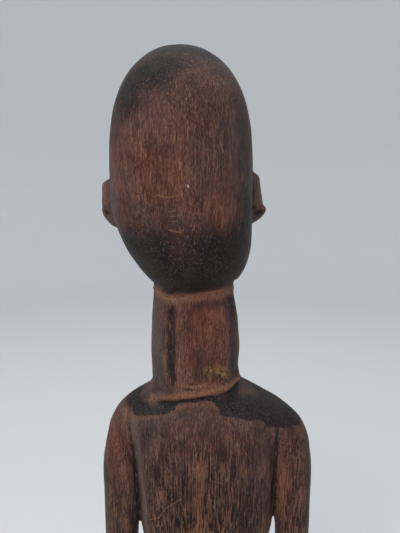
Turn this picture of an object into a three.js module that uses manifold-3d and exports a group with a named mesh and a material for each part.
// A standing spirit figure, carved by hand from one block of hardwood: a tall smooth head with small block
// ears, a faceted neck, sloping shoulders, arms that hang free of the waist, hands on the thighs, short bent
// legs, and a low base left on the same block. Millimetres, +Z up. The figure faces -Y, its own left hand is
// at +X, and the origin is the middle of the base's underside.
import * as THREE from "three";
import { mergeVertices } from "three/addons/utils/BufferGeometryUtils.js";
import Module from "manifold-3d";

const wasm = await Module();
wasm.setup();

// The sizes that are set by themselves. The figure is measured from its soles to its crown.
const FIGURE_HEIGHT = 386;
const BASE_HEIGHT = 14;
const BASE_WIDTH = 96;
const BASE_DEPTH = 88;
const BASE_EDGE = 2;
const BASE_SQUARENESS = 2.8;

// How finely the forms are divided: points round one section, and steps along one form.
const SKULL_GRID = { sides: 36, steps: 18 };
const TRUNK_GRID = { sides: 32, steps: 18 };
const YOKE_GRID = { sides: 28, steps: 10 };
const ARM_GRID = { sides: 14, steps: 19 };
const LEG_GRID = { sides: 14, steps: 11 };
const FOOT_GRID = { sides: 18, steps: 5 };
const NOSE_GRID = { sides: 12, steps: 7 };
const BALL_GRID = { around: 14, over: 8 };
const SMALL_BALL_GRID = { around: 8, over: 6 };
const SMALL_BALL_REACH = 1.6;
const NECK_STEPS = 7;
const BASE_SIDES = 36;
const EAR_CURVE_STEPS = 8;

// The figure's proportions are in hundredths of its height, and a level is a height above its soles.
const hundredth = FIGURE_HEIGHT / 100;

// The block grew a little crooked: trunk, neck and head each stand further to the figure's left.
const TRUNK_X = 0.3;
const NECK_X = 1.35;
const HEAD_X = 2.67;

// The skull: its ends, its crown's place towards the back, and the reach of its side, back and front.
const SKULL = { crown: 100, jaw: 75.8, leanTop: 86, crownY: 0.3, domeFoot: 88, square: 2.25 };
const SKULL_SIDE = { reach: 7.1, widest: 86.8, top: 100, foot: 75.2, over: 2.8, overRoot: 2, under: 2.55 };
const SKULL_BACK = { reach: 9.2, widest: 89, top: 100, foot: 73.8, over: 2.4, overRoot: 2.1, under: 2.2 };
const SKULL_FRONT = { reach: 8, widest: 86, top: 100, foot: 70.4, over: 2.4, overRoot: 2.1, under: 3 };

// The face is let in by a small step inside an oval hairline, and its jaw is lifted by a share of that step.
const FACE_STEP = 0.34;
const FACE_LIFT = 0.5;
const HAIRLINE = { x: 0, y: -9.6, level: 84.2, rx: 6.2, ry: 8, rz: 9.4 };

// The neck is cut in flat facets, each at a bearing round it, from +X towards +Y, and at a reach from its
// middle.
const NECK_Y = 0.12;
const NECK_FACETS = [
  { bearing: 2, reach: 4.78 },
  { bearing: 31, reach: 4.42 },
  { bearing: 56, reach: 4.6 },
  { bearing: 91, reach: 4.4 },
  { bearing: 146, reach: 4.95 },
  { bearing: 180, reach: 4.5 },
  { bearing: 222, reach: 4.95 },
  { bearing: 270, reach: 4.6 },
  { bearing: 318, reach: 5.15 },
];
// Up the neck: a ledge at its foot, cut on the slant, then a slight swell, and a waist under the head.
const NECK = [
  { level: 63, share: 1.04, slant: -0.24 },
  { level: 66.1, share: 1.04, slant: -0.24 },
  { level: 67.2, share: 1, slant: -0.24 },
  { level: 70, share: 1.01, slant: -0.1 },
  { level: 73.4, share: 0.98, slant: 0 },
  { level: 76.6, share: 0.9, slant: 0 },
];

// Each form below is a table of sections, from its lowest level to its highest. Where "side" stands for both
// flanks and "deep" for both back and front, the section is even. Squareness 2 is an ellipse, and more is
// boxier.
const TRUNK = [
  { level: 20.8, side: 2.2, back: 2.4, front: 1.9, square: 2.1 },
  { level: 23, side: 5.2, back: 3.9, front: 3.3, square: 2.2 },
  { level: 28.5, side: 7.8, back: 5.5, front: 4.9, square: 2.4 },
  { level: 34, side: 6.7, back: 4.7, front: 5.6, square: 2.4 },
  { level: 39.5, side: 5.7, back: 3.9, front: 6.3, square: 2.4 },
  { level: 45, side: 6.4, back: 4.4, front: 5.8, square: 2.7 },
  { level: 49.5, side: 7.1, back: 4.9, front: 5.5, square: 3.1 },
  { level: 54, side: 7.55, back: 5.2, front: 5.3, square: 3.3 },
  { level: 59, side: 7.7, back: 5.35, front: 5.1, square: 3.3 },
  { level: 62.4, side: 7.1, back: 5.3, front: 4.8, square: 3 },
  { level: 64.1, side: 5.9, back: 5, front: 4.2, square: 2.7 },
  { level: 65.3, side: 4.2, back: 4.4, front: 3.5, square: 2.4 },
];
const YOKE = [
  { level: 54, left: 11.9, right: 11.9, back: 2.6, front: 2.6, square: 2.4 },
  { level: 57, left: 11.8, right: 11.8, back: 3.1, front: 3.1, square: 2.4 },
  { level: 59.4, left: 11.4, right: 11.5, back: 3.7, front: 3.4, square: 2.4 },
  { level: 61.2, left: 10.95, right: 10.6, back: 4.5, front: 3.8, square: 2.4 },
  { level: 62.7, left: 10.1, right: 8.9, back: 4.95, front: 3.9, square: 2.4 },
  { level: 64, left: 8.5, right: 6.7, back: 4.95, front: 3.8, square: 2.3 },
  { level: 65.4, left: 6.1, right: 4.1, back: 4.6, front: 3.4, square: 2.2 },
  { level: 66.5, left: 4.8, right: 2.2, back: 4, front: 2.9, square: 2.2 },
];
const ARM = [
  { level: 22.2, x: 7.7, y: -2, side: 0.7, deep: 1.6, square: 2.2 },
  { level: 24.4, x: 8, y: -2.2, side: 1.15, deep: 2.45, square: 2.3 },
  { level: 28, x: 8.75, y: -2.1, side: 1.35, deep: 2.45, square: 2.3 },
  { level: 31, x: 9.45, y: -1.8, side: 1.45, deep: 1.8, square: 2.2 },
  { level: 36, x: 9.95, y: -1.2, side: 1.7, deep: 2.1, square: 2.3 },
  { level: 42, x: 10.02, y: -0.5, side: 1.85, deep: 2.35, square: 2.4 },
  { level: 47, x: 9.92, y: -0.1, side: 2.02, deep: 2.6, square: 2.5 },
  { level: 52, x: 9.65, y: 0, side: 2.25, deep: 2.8, square: 2.5 },
  { level: 57, x: 9.5, y: 0.1, side: 2.3, deep: 2.85, square: 2.3 },
  { level: 59.6, x: 9.25, y: 0.1, side: 1.8, deep: 2.35, square: 2.1 },
  { level: 61.8, x: 8.9, y: 0.1, side: 0.7, deep: 0.9, square: 2 },
];
const LEG = [
  { level: -1, x: 4.5, y: 0.7, side: 2.3, deep: 2.6, square: 2.2 },
  { level: 5, x: 4.5, y: 0.7, side: 2.2, deep: 2.5, square: 2.2 },
  { level: 10, x: 4.4, y: 0.4, side: 2.85, deep: 3.4, square: 2.3 },
  { level: 15.5, x: 4.3, y: -0.9, side: 2.85, deep: 3.3, square: 2.4 },
  { level: 20, x: 4.2, y: -0.3, side: 3.4, deep: 4, square: 2.3 },
  { level: 24.5, x: 4.1, y: 0.3, side: 3.8, deep: 4.4, square: 2.3 },
  { level: 28.5, x: 3.9, y: 0.4, side: 3.6, deep: 4.2, square: 2.3 },
];
const FOOT = [
  { level: -1.2, x: 4.6, y: 0.7, side: 2.8, back: 3.2, front: 8.2, square: 3 },
  { level: 0.9, x: 4.6, y: 0.7, side: 2.85, back: 3.3, front: 8.4, square: 3 },
  { level: 1.9, x: 4.6, y: 0.7, side: 2.75, back: 3.2, front: 7.6, square: 2.6 },
  { level: 3.2, x: 4.6, y: 0.7, side: 2.4, back: 3, front: 4.8, square: 2.3 },
  { level: 4.6, x: 4.6, y: 0.7, side: 2, back: 2.7, front: 2.7, square: 2.2 },
];
const NOSE = [
  { level: 81.8, side: 1.15, back: -5, front: 8.8, square: 2 },
  { level: 82.6, side: 1.4, back: -5, front: 9.7, square: 2 },
  { level: 84.6, side: 0.95, back: -5, front: 9.1, square: 2 },
  { level: 87.6, side: 0.65, back: -5, front: 8.3, square: 2 },
  { level: 89.6, side: 0.55, back: -5, front: 7.6, square: 2 },
];

// An ear is a block, D-shaped in side view, hollowed in front, with a round lobe at its foot.
const EAR = { reach: 8.4, half: 2.85, front: -2.8, middle: -1.2, back: 1.9 };
const EAR_LEVEL = { left: 85.1, right: 86.2 };
const EAR_HOLLOW = { x: 8.9, y: -1.9, level: 0.4, rx: 1, ry: 1.2, rz: 1.7 };
const EAR_LOBE = { x: 7.6, y: -0.9, level: -2.1, rx: 1.05, ry: 1.45, rz: 1.05 };

// Rounded masses. Those with an x are given for the figure's left side and mirrored to its right.
const BUTTOCK = { x: 3.5, y: 2.7, level: 27.2, rx: 4, ry: 4.3, rz: 5.2 };
const CHEST = { x: 3.5, y: -3.5, level: 56.4, rx: 3.3, ry: 2.4, rz: 2.8 };
const NAVEL = { x: 0, y: -6.1, level: 40.4, rx: 0.85, ry: 1, rz: 0.9 };
const BROW = { x: 2.5, y: -6.9, level: 87.4, rx: 2.5, ry: 1.05, rz: 0.5, tilt: 0.12 };
const EYE = { x: 2.6, y: -6.75, level: 85.2, rx: 1.55, ry: 0.85, rz: 0.66 };
const EYE_SLIT = { x: 2.6, y: -7.75, level: 85.05, rx: 1.25, ry: 0.6, rz: 0.13 };
const NOSTRIL = { x: 0.95, y: -8.4, level: 82.5, rx: 0.65, ry: 0.75, rz: 0.55 };
const UPPER_LIP = { x: 0, y: -6.9, level: 79.95, rx: 1.9, ry: 0.95, rz: 0.48 };
const LOWER_LIP = { x: 0, y: -6.8, level: 79, rx: 1.65, ry: 0.95, rz: 0.5 };
const LIP_SLIT = { x: 0, y: -8, level: 79.5, rx: 1.6, ry: 0.7, rz: 0.12 };
const CHIN = { x: 0, y: -5.9, level: 77, rx: 1.8, ry: 1.5, rz: 1.2 };

// Cuts of the knife: between the fingers on the outside of each hand, and between the toes.
const FINGER = { x: 9.55, y: -2.25, level: 25, rx: 0.42, ry: 0.14, rz: 3, tilt: 0.24 };
const FINGER_CUTS = { count: 3, spacing: 1.05 };
const TOE = { x: 4.6, y: -7.2, level: 2, rx: 0.13, ry: 1.7, rz: 1.1 };
const TOE_CUTS = { count: 4, spacing: 1.02 };

// A rounded end stops just short of its very tip, and points closer than this are one.
const NEAR_TIP = 0.999;
const SAME_POINT = 1e-4;

const levelToZ = (level) => BASE_HEIGHT + level * hundredth;
const signedPower = (value, power) => Math.sign(value) * Math.abs(value) ** power;

// One value of a form at a level: a smooth curve through its sections.
function through(sections, key, level) {
  const last = sections.length - 1;
  const at = (k) => sections[THREE.MathUtils.clamp(k, 0, last)];
  const slope = (k) => (at(k + 1)[key] - at(k - 1)[key]) / (at(k + 1).level - at(k - 1).level);
  const next = sections.findIndex((section) => section.level > level);
  const i = next < 0 ? last - 1 : Math.max(0, next - 1);
  const span = at(i + 1).level - at(i).level;
  const t = THREE.MathUtils.clamp((level - at(i).level) / span, 0, 1);
  return (
    (2 * t ** 3 - 3 * t ** 2 + 1) * at(i)[key] +
    (t ** 3 - 2 * t ** 2 + t) * span * slope(i) +
    (3 * t ** 2 - 2 * t ** 3) * at(i + 1)[key] +
    (t ** 3 - t ** 2) * span * slope(i + 1)
  );
}

// A closed solid through rings of points, the lowest ring first, each running from +X towards +Y.
function loft(rings) {
  const sides = rings[0].length;
  const middle = (ring) => ring.reduce((sum, p) => sum.add(p), new THREE.Vector3()).divideScalar(sides);
  const points = [...rings.flat(), middle(rings[0]), middle(rings.at(-1))];
  const [bottom, top] = [points.length - 2, points.length - 1];
  const index = [];
  for (let j = 0; j < rings.length; j += 1) {
    for (let i = 0; i < sides; i += 1) {
      const a = j * sides + i;
      const b = j * sides + ((i + 1) % sides);
      if (j === 0) index.push(bottom, b, a);
      if (j === rings.length - 1) index.push(top, a, b);
      else index.push(a, b, b + sides, a, b + sides, a + sides);
    }
  }
  return new THREE.BufferGeometry().setFromPoints(points).setIndex(index);
}

// One level ring of points, with its own reach to the left, right, back and front of its middle.
function ring(sides, section) {
  const { level, x = 0, y = 0, side, deep, square } = section;
  const { left = side, right = side, back = deep, front = deep } = section;
  return Array.from({ length: sides }, (_, i) => {
    const turn = (2 * Math.PI * i) / sides;
    const across = signedPower(Math.cos(turn), 2 / square);
    const along = signedPower(Math.sin(turn), 2 / square);
    return new THREE.Vector3(
      (x + across * (across > 0 ? left : right)) * hundredth,
      (y + along * (along > 0 ? back : front)) * hundredth,
      levelToZ(level),
    );
  });
}

// A form's table of sections, read at even steps from its lowest level to its highest.
function readAtSteps(sections, steps) {
  const keys = Object.keys(sections[0]);
  return Array.from({ length: steps + 1 }, (_, j) => {
    const level = THREE.MathUtils.lerp(sections[0].level, sections.at(-1).level, j / steps);
    return Object.fromEntries(keys.map((key) => [key, through(sections, key, level)]));
  });
}

// A form lofted through its table, set over by a shift in X and mirrored where its side is -1.
function formed(sections, grid, { shift = 0, side = 1 } = {}) {
  const rings = readAtSteps(sections, grid.steps).map((section) =>
    ring(grid.sides, { ...section, x: shift + side * (section.x ?? 0) }),
  );
  return solid(loft(rings));
}

// An ellipsoid, mirrored where its side is -1 and set over by a shift in X.
function ball({ x, y, level, rx, ry, rz, tilt = 0 }, { shift = 0, side = 1, lift = 0 } = {}) {
  const grid = Math.cbrt(rx * ry * rz) < SMALL_BALL_REACH ? SMALL_BALL_GRID : BALL_GRID;
  const geometry = new THREE.SphereGeometry(1, grid.around, grid.over)
    .rotateX(Math.PI / 2)
    .scale(rx * hundredth, ry * hundredth, rz * hundredth)
    .rotateY(side * tilt)
    .translate((shift + side * x) * hundredth, y * hundredth, levelToZ(level + lift));
  return solid(geometry);
}

// A geometry as a solid that can be joined and cut.
function solid(geometry) {
  geometry.deleteAttribute("normal");
  geometry.deleteAttribute("uv");
  const merged = mergeVertices(geometry, SAME_POINT);
  return new wasm.Manifold(
    new wasm.Mesh({
      numProp: 3,
      vertProperties: merged.attributes.position.array,
      triVerts: new Uint32Array(merged.index.array),
    }),
  );
}

const joined = (solids) => solids.reduce((whole, next) => whole.add(next));
const cutFrom = (whole, cutters) => cutters.reduce((rest, cutter) => rest.subtract(cutter), whole);
const onBothSides = (make) => [1, -1].map(make);

// How far the skull reaches at a level, from its full reach where it is widest to nothing at its two ends.
function swell({ reach, widest, top, foot, over, overRoot, under }, level) {
  const above = level > widest;
  const way = above ? (level - widest) / (top - widest) : (widest - level) / (widest - foot);
  const t = Math.min(way, NEAR_TIP);
  return reach * (above ? (1 - t ** over) ** (1 / overRoot) : Math.sqrt(1 - t ** under));
}

// The skull, let in all round by a step: nothing for the smooth hair, and the face's step for the face.
function skull(step) {
  const rings = Array.from({ length: SKULL_GRID.steps + 1 }, (_, j) => {
    const rise = Math.sin((j / SKULL_GRID.steps) * (Math.PI / 2));
    const level = THREE.MathUtils.lerp(SKULL.jaw, SKULL.crown, rise);
    const lean = THREE.MathUtils.smoothstep(level, SKULL.jaw, SKULL.leanTop);
    const dome = THREE.MathUtils.smoothstep(level, SKULL.domeFoot, SKULL.crown);
    return ring(SKULL_GRID.sides, {
      level: level + step * (FACE_LIFT - rise),
      x: THREE.MathUtils.lerp(NECK_X, HEAD_X, lean),
      y: SKULL.crownY * dome,
      side: Math.max(swell(SKULL_SIDE, level) - step, step),
      back: Math.max(swell(SKULL_BACK, level) - step, step),
      front: Math.max(swell(SKULL_FRONT, level) - step, step),
      square: SKULL.square,
    });
  });
  return solid(loft(rings));
}

// The outline of an ear in side view: straight in front, and a half ellipse behind.
function earOutline() {
  const [front, middle, back, half] = [EAR.front, EAR.middle, EAR.back, EAR.half].map((v) => v * hundredth);
  const outline = new THREE.Shape();
  outline.moveTo(front, -half);
  outline.lineTo(middle, -half);
  outline.absellipse(middle, 0, back - middle, half, -Math.PI / 2, Math.PI / 2, false);
  outline.lineTo(front, half);
  return outline;
}

function ear(side) {
  const level = side > 0 ? EAR_LEVEL.left : EAR_LEVEL.right;
  const depth = EAR.reach * hundredth;
  const sideways = new THREE.Matrix4().makeBasis(
    new THREE.Vector3(0, 1, 0),
    new THREE.Vector3(0, 0, 1),
    new THREE.Vector3(1, 0, 0),
  );
  const block = new THREE.ExtrudeGeometry(earOutline(), {
    depth,
    bevelEnabled: false,
    curveSegments: EAR_CURVE_STEPS,
  })
    .applyMatrix4(sideways)
    .translate(HEAD_X * hundredth - (side > 0 ? 0 : depth), 0, levelToZ(level));
  const placed = { shift: HEAD_X, side, lift: level };
  return solid(block).subtract(ball(EAR_HOLLOW, placed)).add(ball(EAR_LOBE, placed));
}

function head() {
  const shift = HEAD_X;
  const hair = skull(0).subtract(ball(HAIRLINE, { shift }));
  const features = [
    formed(NOSE, NOSE_GRID, { shift }),
    ...onBothSides((side) => ball(BROW, { shift, side })),
    ...onBothSides((side) => ball(EYE, { shift, side }).subtract(ball(EYE_SLIT, { shift, side }))),
    ...onBothSides((side) => ball(NOSTRIL, { shift, side })),
    joined([ball(UPPER_LIP, { shift }), ball(LOWER_LIP, { shift })]).subtract(ball(LIP_SLIT, { shift })),
    ball(CHIN, { shift: (NECK_X + HEAD_X) / 2 }),
  ];
  return joined([hair, skull(FACE_STEP), ...onBothSides(ear), ...features]);
}

// The corner between a neck facet and the next one, as the crossing of their two lines.
function neckCorner(facet, next) {
  const [a, b] = [facet, next].map(({ bearing }) => THREE.MathUtils.degToRad(bearing));
  const sine = Math.sin(b - a);
  return new THREE.Vector2(
    (facet.reach * Math.sin(b) - next.reach * Math.sin(a)) / sine,
    (next.reach * Math.cos(a) - facet.reach * Math.cos(b)) / sine,
  );
}

function neck() {
  const after = (i) => NECK_FACETS[(i + 1) % NECK_FACETS.length];
  const corners = NECK_FACETS.map((facet, i) => neckCorner(facet, after(i)));
  const rings = readAtSteps(NECK, NECK_STEPS).map(({ level, share, slant }) =>
    corners.map(
      ({ x, y }) =>
        new THREE.Vector3(
          (NECK_X + x * share) * hundredth,
          (NECK_Y + y * share) * hundredth,
          levelToZ(level + slant * x),
        ),
    ),
  );
  return solid(loft(rings));
}

function trunk() {
  const shift = TRUNK_X;
  return joined([
    formed(TRUNK, TRUNK_GRID, { shift }),
    formed(YOKE, YOKE_GRID),
    ball(NAVEL, { shift }),
    ...onBothSides((side) => ball(BUTTOCK, { shift, side })),
    ...onBothSides((side) => ball(CHEST, { shift, side })),
  ]);
}

// A row of equal cuts, spaced along X or Y about the middle one.
function rowOfCuts(cut, { count, spacing }, axis, side) {
  return Array.from({ length: count }, (_, i) =>
    ball({ ...cut, [axis]: cut[axis] + (i - (count - 1) / 2) * spacing }, { side }),
  );
}

function arm(side) {
  return cutFrom(formed(ARM, ARM_GRID, { side }), rowOfCuts(FINGER, FINGER_CUTS, "y", side));
}

function leg(side) {
  const foot = cutFrom(formed(FOOT, FOOT_GRID, { side }), rowOfCuts(TOE, TOE_CUTS, "x", side));
  return foot.add(formed(LEG, LEG_GRID, { side }));
}

// The base, in millimetres of its own: a rounded oblong with its upper and lower edges eased.
function base() {
  const outline = (z, inset) =>
    Array.from({ length: BASE_SIDES }, (_, i) => {
      const turn = (2 * Math.PI * i) / BASE_SIDES;
      const x = signedPower(Math.cos(turn), 2 / BASE_SQUARENESS) * (BASE_WIDTH / 2 - inset);
      const y = signedPower(Math.sin(turn), 2 / BASE_SQUARENESS) * (BASE_DEPTH / 2 - inset);
      return new THREE.Vector3(x, y, z);
    });
  return solid(
    loft([
      outline(0, BASE_EDGE / 2),
      outline(BASE_EDGE / 2, 0),
      outline(BASE_HEIGHT - BASE_EDGE, 0),
      outline(BASE_HEIGHT, BASE_EDGE),
    ]),
  );
}

function asGeometry(whole) {
  const { vertProperties, triVerts } = whole.getMesh();
  const geometry = new THREE.BufferGeometry();
  geometry.setAttribute("position", new THREE.BufferAttribute(vertProperties, 3));
  geometry.setIndex(new THREE.BufferAttribute(triVerts, 1));
  return geometry;
}

const darkWood = new THREE.MeshStandardMaterial({ color: "#4a332c", roughness: 0.62, metalness: 0 });

const figure = new THREE.Mesh(
  asGeometry(joined([base(), ...onBothSides(leg), trunk(), ...onBothSides(arm), neck(), head()])),
  darkWood,
);
figure.name = "figure";

const group = new THREE.Group();
group.add(figure);

export default group;
